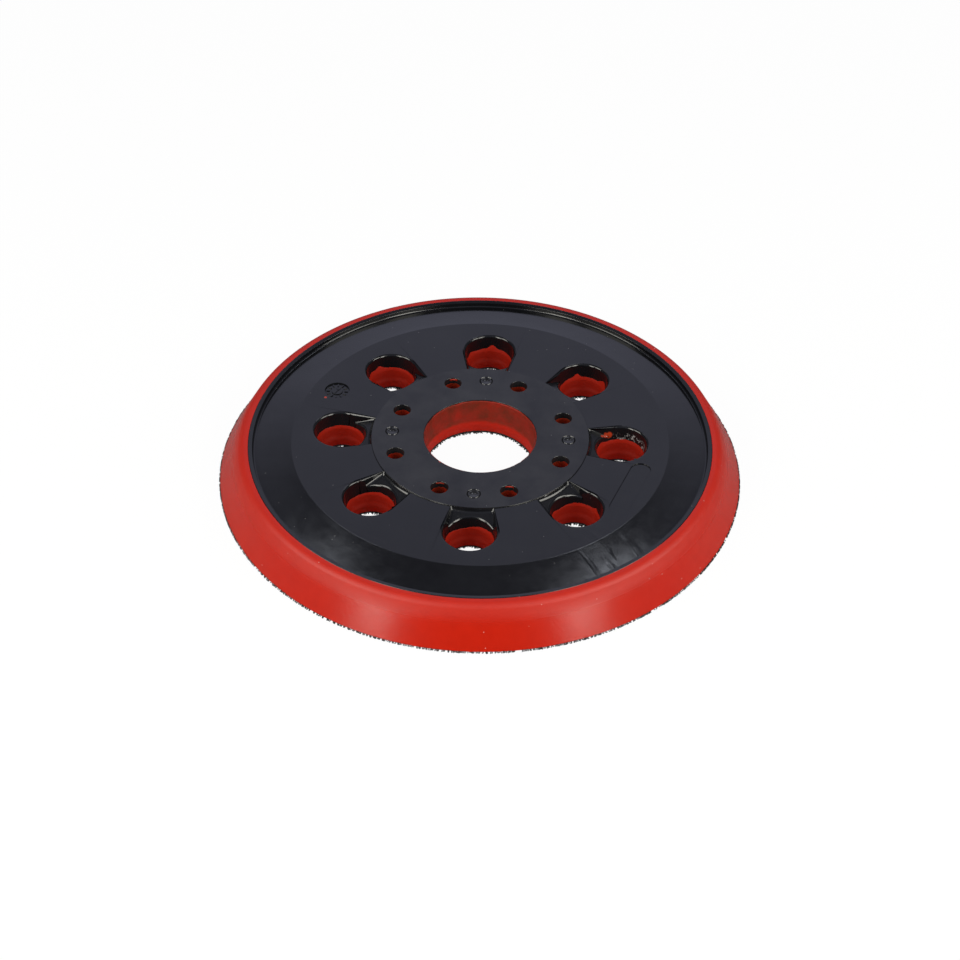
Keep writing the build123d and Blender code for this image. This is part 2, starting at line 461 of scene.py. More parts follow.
def pocket_tool(plate, ports):
    """The flared pockets over the ports, as one mesh to cut with."""
    inset = 0.02 * MM
    mouth_half = ports.mouth / 2
    mouth_r = plate.hub_radius + ports.mouth_gap
    mouth_x = sqrt(mouth_r**2 - mouth_half**2)
    end_r = ports.top_radius - inset
    reach = hypot(ports.circle - mouth_x, mouth_half)
    lean = asin(end_r / reach) - atan2(mouth_half, ports.circle - mouth_x)
    centre = Vector((ports.circle, 0, plate.rim_height))
    mouth_turn = 2 * asin(mouth_half / mouth_r)
    bm = bmesh.new()
    first = bm.verts.new((mouth_x, mouth_half, plate.rim_height))
    corner = swept_arc(bm, first, ORIGIN, -mouth_turn, 20)
    start = bm.verts.new(centre + Vector((-end_r * sin(lean), -end_r * cos(lean), 0)))
    bm.edges.new((corner, start))
    last = swept_arc(bm, start, centre, pi + 2 * lean, 48)
    bm.edges.new((last, first))
    outline = bmesh.ops.contextual_create(bm, geom=bm.edges[:])["faces"]
    bmesh.ops.recalc_face_normals(bm, faces=outline)
    raised = of_kind(bmesh.ops.extrude_face_region(bm, geom=outline)["geom"], BMVert)
    bmesh.ops.translate(bm, verts=raised, vec=OVER * UP)
    bmesh.ops.recalc_face_normals(bm, faces=bm.faces[:])
    floor = min(bm.faces, key=lambda face: face.calc_center_median().z)
    bmesh.ops.inset_region(
        bm, faces=[floor], thickness=ports.depth * tan(ports.draft), depth=ports.depth, use_even_offset=True
    )
    ramp_top = Vector((plate.hub_radius, 0, plate.rim_height - ports.start))
    ramp_normal = Vector((sin(ports.ramp), 0, cos(ports.ramp)))
    sliced = bmesh.ops.bisect_plane(
        bm,
        geom=bm.verts[:] + bm.edges[:] + bm.faces[:],
        plane_co=ramp_top,
        plane_no=ramp_normal,
        clear_inner=True,
    )
    bmesh.ops.edgeloop_fill(bm, edges=of_kind(sliced["geom_cut"], BMEdge))
    close_up(bm)
    repeat_round(bm, ports.count)
    return to_mesh(bm, "pocket_tool")


def upright_cone(bm, x, y, low, high, low_r, high_r, segments):
    """Add a capped cone that stands on the point (x, y)."""
    bmesh.ops.create_cone(
        bm,
        cap_ends=True,
        segments=segments,
        radius1=low_r,
        radius2=high_r,
        depth=high - low,
        matrix=Matrix.Translation((x, y, (low + high) / 2)),
    )


def port_cones(name, ports, low, high, low_r, high_r, segments):
    """Upright cones on the axes of all the ports, as one mesh."""
    bm = bmesh.new()
    upright_cone(bm, ports.circle, 0, low, high, low_r, high_r, segments)
    repeat_round(bm, ports.count)
    return to_mesh(bm, name)


def port_wall(plate, ports, z):
    """Radius of a port's tapered wall at a height."""
    return ports.top_radius - (ports.top_radius - ports.throat_radius) / ports.depth * (plate.rim_height - z)


def port_tool(plate, ports):
    """The tapered ports, as one mesh to cut with."""
    low = plate.rim_height - ports.depth - 2 * OVER
    high = plate.rim_height + OVER
    radii = (port_wall(plate, ports, low), port_wall(plate, ports, high))
    return port_cones("port_tool", ports, low, high, *radii, 96)


def port_collars(plate, ports):
    """The collars that carry the ports' walls below the plate, as one mesh to join."""
    low = plate.rim_height - ports.depth - ports.foot
    high = plate.rim_height - plate.wall / 2
    radius = ports.throat_radius + ports.collar_wall
    return port_cones("port_collars", ports, low, high, radius, radius, 64)


def screw_tool(ports, low, high, radius, lip=0.0):
    """Round holes on the screw circle, as one mesh to cut with; a lip rounds their upper edge."""
    section = [(0, low, 0), (radius, low, 0)]
    if lip:
        section += [
            (radius, high - lip, 0),
            (radius + 0.13 * lip, high - 0.5 * lip, 0),
            (radius + 0.5 * lip, high - 0.13 * lip, 0),
            (radius + 1.5 * lip, high + 0.13 * lip, 0),
            (radius + 1.5 * lip, high + OVER, 0),
        ]
    else:
        section += [(radius, high + OVER, 0)]
    section += [(0, high + OVER, 0)]
    first = round_place(ports.screw_circle, pi / ports.count)
    return turned_tools("screw_tool", [section], 64, first, ports.count)


def mark_tool(plate):
    """Four round marks in the hub, each a ring groove round a shallow dimple, as one mesh to cut with."""
    high = plate.hub_top + SKIM
    low = plate.hub_top - plate.sunk
    floor = plate.hub_top - 0.6 * plate.sunk
    outer = plate.mark_radius
    groove = [(0.72 * outer, high, 0), (0.86 * outer, low, 0), (outer, high, 0)]
    dimple = [(0, floor, 0), (0.42 * outer, floor, 0), (0.62 * outer, high, 0), (0, high, 0)]
    return turned_tools("mark_tool", [groove, dimple], 40, (plate.mark_circle, 0, 0), 4)


def dial_tool(plate):
    """The round recess of the date dial, as a mesh to cut with."""
    low = plate.rim_height - 1.6 * plate.sunk
    high = plate.rim_height + SKIM
    radii = (0.96 * plate.dial_radius, 1.02 * plate.dial_radius)
    bm = bmesh.new()
    upright_cone(bm, plate.dial_x, plate.dial_y, low, high, *radii, 48)
    return to_mesh(bm, "dial_tool")


def label_tool(plate):
    """The long round-ended label field, as a mesh to cut with."""
    radius = plate.label_width / 2
    straight = plate.label_length - plate.label_width
    low = plate.rim_height - plate.sunk
    high = plate.rim_height + SKIM
    bm = bmesh.new()
    upright_cone(bm, 0, 0, low, high, radius - 0.08 * MM, radius, 50)
    for vert in bm.verts:
        vert.co.y += straight / 2 if vert.co.y > 0 else -straight / 2
    bmesh.ops.rotate(bm, verts=bm.verts[:], cent=ORIGIN, matrix=Matrix.Rotation(plate.label_turn, 3, "Z"))
    bmesh.ops.translate(bm, verts=bm.verts[:], vec=(plate.label_x, plate.label_y, 0))
    return to_mesh(bm, "label_tool")


def box_between(bm, low, high, matrix):
    """Add a box with two opposite corners, moved by a matrix."""
    low, high = Vector(low), Vector(high)
    place = Matrix.Translation((low + high) / 2) @ Matrix.Diagonal((*(high - low), 1))
    bmesh.ops.create_cube(bm, size=1, matrix=matrix @ place)


def dial_marks(plate):
    """The raised ticks, disc and arrow in the date dial."""
    radius = plate.dial_radius
    floor = plate.rim_height - 1.7 * plate.sunk
    tick = plate.rim_height - 0.7 * plate.sunk
    middle = Matrix.Translation((plate.dial_x, plate.dial_y, 0))
    bm = bmesh.new()
    for i in range(12):
        turn = middle @ Matrix.Rotation(tau * i / 12, 4, "Z")
        box_between(bm, (0.6 * radius, -0.14 * MM, floor), (0.88 * radius, 0.14 * MM, tick), turn)
    upright_cone(bm, plate.dial_x, plate.dial_y, floor, tick, 0.46 * radius, 0.44 * radius, 40)
    shaft = middle @ Matrix.Rotation(radians(65), 4, "Z")
    rise = tick + 0.5 * plate.sunk
    box_between(bm, (-0.36 * radius, -0.12 * MM, floor), (0.2 * radius, 0.12 * MM, rise), shaft)
    head = bmesh.ops.create_cone(
        bm, cap_ends=True, segments=3, radius1=0.2 * radius, radius2=0.2 * radius, depth=rise - floor
    )["verts"]
    bmesh.ops.transform(
        bm, matrix=shaft @ Matrix.Translation((0.22 * radius, 0, (rise + floor) / 2)), verts=head
    )
    return to_mesh(bm, "dial_marks")


def join(mesh, extra):
    """Add the shells of another mesh to a mesh."""
    bm = bmesh.new()
    bm.from_mesh(mesh)
    bm.from_mesh(extra)
    bm.to_mesh(mesh)
    bm.free()
    bpy.data.meshes.remove(extra)
    return mesh


def soften_cut_edges(mesh, plate, ports):
    """Round the edges that the ports and pockets leave in the plate's top."""
    bm = bmesh.new()
    bm.from_mesh(mesh)
    bmesh.ops.remove_doubles(bm, verts=bm.verts[:], dist=0.01 * MM)
    step = tau / ports.count
    port_axes = [round_place(ports.circle, step * i) for i in range(ports.count)]
    label_middle = Vector((plate.label_x, plate.label_y))

    def in_label(point):
        off = Matrix.Rotation(-plate.label_turn, 2) @ (point.xy - label_middle)
        return abs(off.x) < 0.55 * plate.label_width and abs(off.y) < 0.55 * plate.label_length

    def is_cut_edge(edge):
        if len(edge.link_faces) != 2 or edge.calc_face_angle() < radians(35):
            return False
        middle = (edge.verts[0].co + edge.verts[1].co) / 2
        if middle.z < plate.rim_height - 0.95 * ports.depth:
            return False
        if in_label(middle) or middle.xy.length < plate.hub_radius + 0.1 * MM:
            return False
        return any((middle.xy - axis.xy).length < 1.56 * ports.top_radius for axis in port_axes)

    edges = [edge for edge in bm.edges if is_cut_edge(edge)]
    bmesh.ops.bevel(
        bm,
        geom=edges,
        offset=plate.port_edge,
        offset_type="OFFSET",
        affect="EDGES",
        segments=3,
        profile=0.5,
        material=-1,
        clamp_overlap=False,
        loop_slide=False,
    )
    close_up(bm)
    bm.to_mesh(mesh)
    bm.free()
    return mesh


def roughen_ramps(mesh, plate, ports):
    """Give the sloping floors of the pockets the second material."""
    step = tau / ports.count
    ramp = Vector((sin(ports.ramp), 0, cos(ports.ramp)))
    for face in mesh.polygons:
        outward = round(atan2(face.center.y, face.center.x) / step) * step
        slope = Matrix.Rotation(outward, 3, "Z") @ ramp
        deep = face.center.z < plate.rim_height - 0.9 * ports.start
        if deep and face.center.xy.length < ports.circle and face.normal.dot(slope) > 0.985:
            face.material_index = 1


class PAD_OT_moulded_plate(bpy.types.Operator):
    """Make the moulded plate with its ports, pockets and screw holes"""

    bl_idname = "pad.moulded_plate"
    bl_label = "Moulded plate"

    def execute(self, context):
        pad = context.scene.pad
        plate, ports = pad.plate, pad.ports
        blank = turned("moulded_plate", plate_section(plate), plate.turns)
        blank = carve(blank, [port_collars(plate, ports)], "UNION")
        low = plate.rim_height - plate.wall
        tools = [
            screw_tool(ports, low - OVER, plate.hub_top, ports.screw_radius, plate.edge),
            mark_tool(plate),
            dial_tool(plate),
            label_tool(plate),
            pocket_tool(plate, ports),
            port_tool(plate, ports),
        ]
        mesh = soften_cut_edges(carve(blank, tools), plate, ports)
        mesh = join(mesh, dial_marks(plate))
        roughen_ramps(mesh, plate, ports)
        materials = [black_nylon(pad), grained_nylon(pad)]
        add_piece("moulded_plate", mesh, materials, ["backing_plate"])
        return {"FINISHED"}


# Cast foam


def foam_section(plate, foam):
    """Corners of the foam's section, from the rim over the flank and under the plate."""
    flank_r = foam.base_radius - (foam.ledge - foam.bottom) / tan(foam.flank)
    lap_r = foam.lap_radius - 0.5 * MM
    lining_r = plate.bore_radius - foam.lining
    lining_top = plate.hub_top - foam.lining_gap
    edge = 0.15 * MM
    return [
        (plate.rim_radius, foam.ledge, 0),
        (flank_r, foam.ledge, foam.shoulder * tan(foam.flank / 2)),
        (foam.lap_radius, foam.lap_height, 0.5 * edge),
        (lap_r, foam.lap_height, 0),
        (lap_r, foam.bottom, 0),
        (foam.bore_neck, foam.bottom, edge),
        (foam.bore_neck, foam.bore_neck_height, 0.5 * MM),
        (lining_r, foam.bore_neck_height + foam.bore_neck_rise, 0.5 * MM),
        (lining_r, lining_top, edge),
        (plate.bore_radius, lining_top, 0),
        *reversed(plate_underside(plate)),
    ]


def core_tool(plate, ports, foam):
    """The cores that leave the dust holes and their necks in the foam, as one mesh to cut with."""
    high = plate.rim_height - ports.depth - ports.foot
    low = foam.bottom - OVER
    collar_r = ports.throat_radius + ports.collar_wall
    section = [
        (0, low, 0),
        (foam.port_neck, low, 0),
        (foam.port_neck, foam.port_neck_height, 0.4 * MM),
        (foam.port_radius, foam.port_neck_height + foam.port_neck_rise, 0.4 * MM),
        (port_wall(plate, ports, high), high, 0),
        (collar_r, high, 0),
        (collar_r, plate.rim_height, 0),
        (0, plate.rim_height, 0),
    ]
    return turned_tools("core_tool", [section], 96, (ports.circle, 0, 0), ports.count)


def fray_lining(mesh, plate, foam):
    """Make the upper edge of the bore's lining a little uneven."""
    depth = 0.4 * MM
    foot = plate.hub_top - foam.lining_gap - depth
    for vert in mesh.vertices:
        if vert.co.xy.length < plate.bore_radius + 0.1 * MM and vert.co.z > foot:
            ragged = max(0, noise.noise(vert.co * 300) + 0.5 * noise.noise(vert.co * 900))
            vert.co.z -= (vert.co.z - foot) / depth * ragged * 0.35 * MM


def wrapped_skin(bm, columns, rows, thickness, place):
    """Add a thin closed skin: a grid whose points are laid by their shares along and up."""
    verts = bmesh.ops.create_grid(bm, x_segments=columns, y_segments=rows, size=0.5)["verts"]
    for vert in verts:
        vert.co = place(vert.co.x + 0.5, vert.co.y + 0.5)
    faces = {face for vert in verts for face in vert.link_faces}
    bmesh.ops.remove_doubles(bm, verts=verts, dist=MICRON)
    faces = [face for face in faces if face.is_valid]
    bmesh.ops.recalc_face_normals(bm, faces=faces)
    bmesh.ops.solidify(bm, geom=faces, thickness=thickness)


# Where the foam crept up the ports' walls: for each port the middle, half-width and rise of each tongue,
# in degrees and millimetres
CREEP = (
    ((60, 45, 0.15), (155, 25, 0.6)),
    ((106, 9, 0.95), (25, 14, 1.2)),
    ((86, 10, 0.9), (150, 13, 0.5)),
    ((128, 11, 0.9), (158, 20, 0.6)),
    ((20, 20, 0.2), (160, 20, 0.3)),
    ((125, 25, -0.35), (70, 8, 0.15)),
    ((110, 26, -0.65), (32, 20, 0.25)),
    ((132, 24, -0.65), (36, 6, 0.5)),
)


def port_skins(plate, ports, foam):
    """Thin red skins on the foot of each port's wall, with the ragged edge that casting leaves."""
    bm = bmesh.new()
    low = plate.rim_height - ports.depth - ports.foot - 0.1 * MM
    for i, tongues in enumerate(CREEP):
        middle = round_place(ports.circle, tau * i / ports.count)

        def place(along, up):
            turn = along * tau
            rise = ports.foot + 0.15 * MM
            for centre, width, height in tongues:
                off = (degrees(turn) - centre + 180) % 360 - 180
                rise += height * MM * exp(-((off / width) ** 2))
            ring = Vector((cos(turn), sin(turn), 3 * i))
            rise += 0.16 * MM * noise.noise(ring * 4) + 0.09 * MM * noise.noise(ring * 15)
            z = low + max(rise, 0.05 * MM) * up
            radius = port_wall(plate, ports, z) - foam.skin * (1 - 0.6 * up**3)
            return around(middle, radius, turn, z)

        wrapped_skin(bm, 220, 4, foam.skin, place)
    return to_mesh(bm, "port_skins")


def screw_skins(plate, ports, foam):
    """Thin red skins in the lower half of the screw holes, and the bits that reach the top of some."""
    bm = bmesh.new()
    low = plate.rim_height - plate.wall - 1.9 * MM
    top = plate.hub_top
    for i in range(ports.count):
        middle = round_place(ports.screw_circle, tau * (i + 0.5) / ports.count)

        def place(along, up):
            turn = along * tau
            ring = Vector((cos(turn), sin(turn), 5 * i))
            rise = 2.85 * MM + 0.22 * MM * noise.noise(ring * 2.5) + 0.08 * MM * noise.noise(ring * 9)
            radius = ports.screw_radius - foam.skin * (1 - 0.6 * up**3)
            return around(middle, radius, turn, low + rise * up)

        def place_bit(along, up):
            turn = radians(90 + 56 * (along - 0.5))
            ring = Vector((cos(turn) * 6, up * 2, 7 * i))
            bulge = 0.16 * MM * sin(pi * along) * sin(pi * up) * (1 + noise.noise(ring))
            radius = ports.screw_radius - foam.skin - bulge
            ragged = 0.12 * MM * noise.noise(Vector((along * 7, 3 * i, 0)))
            z = top - 0.2 * MM - (1 - up) * (0.4 * MM + ragged)
            return around(middle, radius, turn, z)

        wrapped_skin(bm, 72, 4, foam.skin, place)
        if i in (2, 5, 6):
            wrapped_skin(bm, 24, 8, foam.skin, place_bit)
    return to_mesh(bm, "screw_skins")


def line_holes(mesh, plate, ports, foam):
    """Give the walls of the bore and screw holes the second material and those of the ports the third."""
    step = tau / ports.count
    for face in mesh.polygons:
        out = face.center.xy.length
        turn = atan2(face.center.y, face.center.x)
        port = round_place(ports.circle, round(turn / step) * step)
        screw = round_place(ports.screw_circle, (round(turn / step - 0.5) + 0.5) * step)
        from_port = (face.center.xy - port.xy).length
        from_screw = (face.center.xy - screw.xy).length
        if face.center.z < foam.bottom + 0.1 * MM:
            continue
        if out < plate.bore_radius or from_screw < 1.1 * ports.screw_radius:
            face.material_index = 1
        elif from_port < ports.top_radius:
            face.material_index = 2


class PAD_OT_cast_foam(bpy.types.Operator):
    """Make the cast foam with its flank, dust holes and bore lining"""

    bl_idname = "pad.cast_foam"
    bl_label = "Cast foam"

    def execute(self, context):
        pad = context.scene.pad
        plate, ports, foam = pad.plate, pad.ports, pad.foam
        blank = turned("cast_foam", foam_section(plate, foam), foam.turns)
        web = plate.rim_height - plate.wall
        tools = [
            core_tool(plate, ports, foam),
            screw_tool(ports, foam.bottom - OVER, web, foam.access_radius),
        ]
        mesh = carve(blank, tools)
        fray_lining(mesh, plate, foam)
        mesh = join(mesh, port_skins(plate, ports, foam))
        mesh = join(mesh, screw_skins(plate, ports, foam))
        line_holes(mesh, plate, ports, foam)
        bore_foot = foam.bore_neck_height + 0.3 * foam.bore_neck_rise
        port_foot = foam.port_neck_height - 0.6 * foam.port_neck_rise
        materials = [
            red_foam(pad, "red_foam"),
            red_foam(pad, "bore_lining", bore_foot, 1.0),
            red_foam(pad, "port_lining", port_foot),
        ]
        piece = add_piece("cast_foam", mesh, materials, ["foam_pad"])
        return {"FINISHED"}


# Hook sheet


def sheet_section(hooks, foam):
    """Corners of the hook sheet's section, which ends inside the foam's lip."""
    edge = 0.05 * MM
    low = hooks.top - hooks.web
    outer = hooks.radius - 0.6 * MM
    return [
        (foam.bore_neck, low, edge),
        (outer, low, edge),
        (outer, hooks.top, 0),
        (foam.bore_neck, hooks.top, 0),
    ]


def hook_mesh(hooks):
    """One hook that hangs from the sheet: a stem that bends over into a short tip."""
    stem = hooks.stem
    drop = hooks.top - hooks.web
    bend = 0.55 * drop
    bm = bmesh.new()
    bmesh.ops.create_circle(bm, cap_ends=True, segments=3, radius=stem / 2)
    bmesh.ops.translate(bm, verts=bm.verts[:], vec=(0, 0, drop + 0.05 * MM))
    down = of_kind(bmesh.ops.extrude_face_region(bm, geom=bm.faces[:])["geom"], BMVert)
    bmesh.ops.translate(bm, verts=down, vec=(0, 0, bend - drop - 0.05 * MM))
    foot = [face for face in bm.faces if all(vert in down for vert in face.verts)]
    bmesh.ops.spin(
        bm,
        geom=foot,
        cent=(0.45 * bend, 0, bend),
        axis=(0, 1, 0),
        dvec=ORIGIN,
        angle=-radians(150),
        steps=4,
        use_merge=False,
    )
    bmesh.ops.delete(bm, geom=foot, context="FACES_ONLY")
    close_up(bm)
    mesh = to_mesh(bm, "hook")
    mesh["root"] = drop
    return mesh


def sheet_holes(ports, foam):
    """Middle and radius of every hole in the hook sheet."""
    step = tau / ports.count
    holes = [(ORIGIN, foam.bore_neck)]
    for i in range(ports.count):
        holes.append((round_place(ports.circle, step * i), foam.port_neck))
        holes.append((round_place(ports.screw_circle, step * (i + 0.5)), foam.access_radius))
    return holes


def plant_hook(field, hook, place, turn, lean, size):
    """Add one hook to a field, turned, leaned about its root and scaled."""
    root = Matrix.Translation((0, 0, hook["root"]))
    matrix = (
        Matrix.Translation(place)
        @ Matrix.Rotation(turn, 4, "Z")
        @ root
        @ Matrix.Rotation(lean, 4, "Y")
        @ Matrix.Scale(size, 4)
        @ root.inverted()
    )
    hook.transform(matrix)
    field.from_mesh(hook, face_normals=False, vertex_normals=False)
    hook.transform(matrix.inverted())


def hook_field(ports, foam, hooks):
    """Hooks on a loose triangular grid, over all of the sheet but its holes."""
    rng = random.Random(8)
    holes = sheet_holes(ports, foam)
    hook = hook_mesh(hooks)
    field = bmesh.new()
    rows = int(hooks.radius / (hooks.pitch * sqrt(0.75)))
    columns = int(hooks.radius / hooks.pitch) + 1
    reach = hooks.radius - 0.7 * MM
    for row in range(-rows, rows + 1):
        for column in range(-columns, columns + 1):
            x = (column + 0.5 * (row % 2)) * hooks.pitch + rng.uniform(-0.25, 0.25) * hooks.pitch
            y = row * hooks.pitch * sqrt(0.75) + rng.uniform(-0.25, 0.25) * hooks.pitch
            place = Vector((x, y, 0))
            turn = rng.uniform(0, tau)
            if place.length > reach or any((place - hole).length < radius for hole, radius in holes):
                continue
            plant_hook(field, hook, place, turn, 0, 1)
    bpy.data.meshes.remove(hook)
    field.normal_update()
    return to_mesh(field, "hooks")


def edge_hooks(ports, foam, hooks):
    """The cut and frayed hooks along the sheet's rim and round its holes."""
    rng = random.Random(21)
    hook = hook_mesh(hooks)
    field = bmesh.new()
    edges = [(ORIGIN, hooks.radius, 1)]
    edges += [(place, radius + 0.08 * MM, -1) for place, radius in sheet_holes(ports, foam)]
    for middle, radius, side in edges:
        count = int(tau * radius / hooks.edge_pitch)
        for i in range(count):
            clump = 0.5 + noise.noise(Vector((0.09 * i, radius * 100, middle.x * 100)))
            if rng.random() > 0.5 + 0.6 * clump:
                continue
            turn = tau * (i + rng.uniform(-0.45, 0.45)) / count
            ring = radius - side * rng.uniform(0, 0.15) * MM
            lift = 0.15 * MM if side > 0 else 0
            place = around(middle, ring, turn, lift)
            heading = turn if side > 0 else turn + pi
            heading += rng.uniform(-0.9, 0.9)
            size = rng.uniform(1.1, 1.7) if side > 0 else rng.uniform(0.9, 1.3 + 0.9 * clump)
            lean = rng.uniform(0.2, 0.7) if side > 0 else rng.uniform(0.1, 1.0)
            plant_hook(field, hook, place, heading, -lean, size)
    bpy.data.meshes.remove(hook)
    for vert in field.verts:
        vert.co.z = max(vert.co.z, 0.02 * MM)
        reach = vert.co.xy.length / (hooks.radius + hooks.fray)
        if reach > 1:
            vert.co.xy /= reach
    field.normal_update()
    return to_mesh(field, "edge_hooks")


class PAD_OT_hook_sheet(bpy.types.Operator):
    """Make the hook sheet: a punched web with its field of small hooks"""

    bl_idname = "pad.hook_sheet"
    bl_label = "Hook sheet"

    def execute(self, context):
        pad = context.scene.pad
        ports, foam, hooks = pad.ports, pad.foam, pad.hooks
        blank = turned("hook_sheet", sheet_section(hooks, foam), 256)
        tools = [
            port_cones("punch", ports, -OVER, hooks.top + OVER, foam.port_neck, foam.port_neck, 64),
            screw_tool(ports, -OVER, hooks.top, foam.access_radius),
        ]
        mesh = carve(blank, tools)
        materials = [hook_nylon(pad)]
        piece = add_piece("hook_sheet", mesh, materials, ["hook_face"])
        field, fringe = (
            add_piece(name, grow(ports, foam, hooks), materials, weighted=False)
            for name, grow in (("hooks", hook_field), ("edge_hooks", edge_hooks))
        )
        punched = sum(radius**2 for _, radius in sheet_holes(ports, foam))
        return {"FINISHED"}


# Materials


def new_material(name):
    """A plain node material, with its node tree and its principled shader."""
    material = bpy.data.materials.new(name)
    material.use_nodes = True
    shader = material.node_tree.nodes["Principled BSDF"]
    return material, material.node_tree, shader


def object_coordinates(tree):
    """The Object coordinates of a material."""
    return tree.nodes.new("ShaderNodeTexCoord").outputs["Object"]


def noise_value(tree, vector, scale, detail=2.0, roughness=0.5):
    """A noise from about 0 to 1; the scale is in waves per metre."""
    node = tree.nodes.new("ShaderNodeTexNoise")
    node.inputs["Scale"].default_value = scale
    node.inputs["Detail"].default_value = detail
    node.inputs["Roughness"].default_value = roughness
    tree.links.new(vector, node.inputs["Vector"])
    return node.outputs["Fac"]


def remap(tree, value, low, high, to_low=0.0, to_high=1.0, curve="LINEAR"):
    """A value mapped from one range to another and held within it."""
    node = tree.nodes.new("ShaderNodeMapRange")
    node.interpolation_type = curve
    tree.links.new(value, node.inputs["Value"])
    node.inputs["From Min"].default_value = low
    node.inputs["From Max"].default_value = high
    node.inputs["To Min"].default_value = to_low
    node.inputs["To Max"].default_value = to_high
    return node.outputs["Result"]


def blend_colours(tree, factor, first, second):
    """Two colours mixed by a factor; each is a colour or a socket."""
    node = tree.nodes.new("ShaderNodeMix")
    node.data_type = "RGBA"
    tree.links.new(factor, node.inputs["Factor"])
    for socket, value in ((node.inputs["A"], first), (node.inputs["B"], second)):
        if isinstance(value, bpy.types.NodeSocket):
            tree.links.new(value, socket)
        else:
            socket.default_value = (*value, 1)
    return node.outputs["Result"]


def arithmetic(tree, operation, first, second):
    """A math node between two values, each a number or a socket."""
    node = tree.nodes.new("ShaderNodeMath")
    node.operation = operation
    for socket, value in zip(node.inputs, (first, second)):
        if isinstance(value, bpy.types.NodeSocket):
            tree.links.new(value, socket)
        else:
            socket.default_value = value
    return node.outputs[0]


def bump(tree, height, strength, distance, shader, normal=None):
    """Give a shader a bump from a height."""
    node = tree.nodes.new("ShaderNodeBump")
    node.inputs["Strength"].default_value = strength
    node.inputs["Distance"].default_value = distance
    tree.links.new(height, node.inputs["Height"])
    if normal is not None:
        tree.links.new(normal, node.inputs["Normal"])
    tree.links.new(node.outputs["Normal"], shader.inputs["Normal"])
    return node.outputs["Normal"]


def vector_math(tree, operation, first, second):
    """A vector math node between a socket and a fixed vector."""
    node = tree.nodes.new("ShaderNodeVectorMath")
    node.operation = operation
    tree.links.new(first, node.inputs[0])
    node.inputs[1].default_value = second
    return node.outputs["Vector" if operation == "MULTIPLY" else "Value"]


def distance_from_axis(tree, place):
    """Distance of a place from the pad's axis."""
    return vector_math(tree, "DISTANCE", vector_math(tree, "MULTIPLY", place, (1, 1, 0)), ORIGIN)


def height_of(tree, place):
    """Height of a place above the floor."""
    split = tree.nodes.new("ShaderNodeSeparateXYZ")
    tree.links.new(place, split.inputs["Vector"])
    return split.outputs["Z"]


def near_point(tree, place, point, reach):
    """1 at a point, falling to 0 at a distance from it."""
    return remap(tree, vector_math(tree, "DISTANCE", place, point), reach, 0)


def dust_specks(tree, place, scale, size, share):
    """1 on sparse round specks; the size is a share of a cell, and a share of the cells hold one."""
    cells = tree.nodes.new("ShaderNodeTexVoronoi")
    cells.inputs["Scale"].default_value = scale
    tree.links.new(place, cells.inputs["Vector"])
    chance = tree.nodes.new("ShaderNodeSeparateColor")
    tree.links.new(cells.outputs["Color"], chance.inputs["Color"])
    kept = arithmetic(tree, "LESS_THAN", chance.outputs["Red"], share)
    return arithmetic(tree, "MULTIPLY", kept, arithmetic(tree, "LESS_THAN", cells.outputs["Distance"], size))


def scratches(tree, place, near, turn, scale):
    """Fine lines along one direction, from 0 to 1, where a place is near a spot."""
    stretch = tree.nodes.new("ShaderNodeMapping")
    stretch.vector_type = "TEXTURE"
    stretch.inputs["Rotation"].default_value = (0, 0, turn)
    stretch.inputs["Scale"].default_value = (1 / scale, 16 / scale, 1 / scale)
    tree.links.new(place, stretch.inputs["Vector"])
    lines = remap(tree, noise_value(tree, stretch.outputs["Vector"], 1, 3), 0.56, 0.68)
    return arithmetic(tree, "MULTIPLY", near, lines)


def port_film_glints(tree, place):
    """Painted glints on the dark film in the foot of one port, from 0 to 1: pale marks that stand for the
    film's sparkle.
    """
    film = near_point(tree, place, (36.8 * MM, 4.9 * MM, 7.2 * MM), 5.5 * MM)
    film = arithmetic(tree, "MULTIPLY", film, remap(tree, height_of(tree, place), 8.4 * MM, 7.2 * MM))
    glints = remap(tree, noise_value(tree, place, 1300, 4, 0.7), 0.53, 0.63)
    return arithmetic(tree, "MULTIPLY", remap(tree, film, 0, 0.3), glints)


def slope_waves(tree, place, plate):
    """Height of the shallow waves in the slope that falls into the trough."""
    slope_r = plate.rim_radius - plate.land - plate.draft - plate.trough_run
    on_slope = remap(tree, distance_from_axis(tree, place), slope_r + 0.3 * MM, slope_r + 1.5 * MM)
    uneven = remap(tree, noise_value(tree, place, 110, 2), 0, 1, -0.5, 0.5)
    return arithmetic(tree, "MULTIPLY", on_slope, uneven)


def stray_foam(tree, place, plate):
    """1 on the spots of foam that strayed on to the plate when the pad was cast."""
    spots = (
        (30.9, 4.9, -1.8, 1.1),
        (30.0, 4.7, -1.6, 0.85),
        (29.2, 4.4, -1.4, 0.6),
        (-38.6, 15.6, 0, 0.35),
        (-38.7, 11.8, 0, 0.45),
        (-8.7, -10.35, 0.2, 0.4),
    )
    found = None
    for x, y, z, reach in spots:
        middle = (x * MM, y * MM, plate.rim_height + z * MM)
        spot = remap(tree, near_point(tree, place, middle, reach * MM), 0.1, 0.35)
        found = spot if found is None else arithmetic(tree, "MAXIMUM", found, spot)
    return found


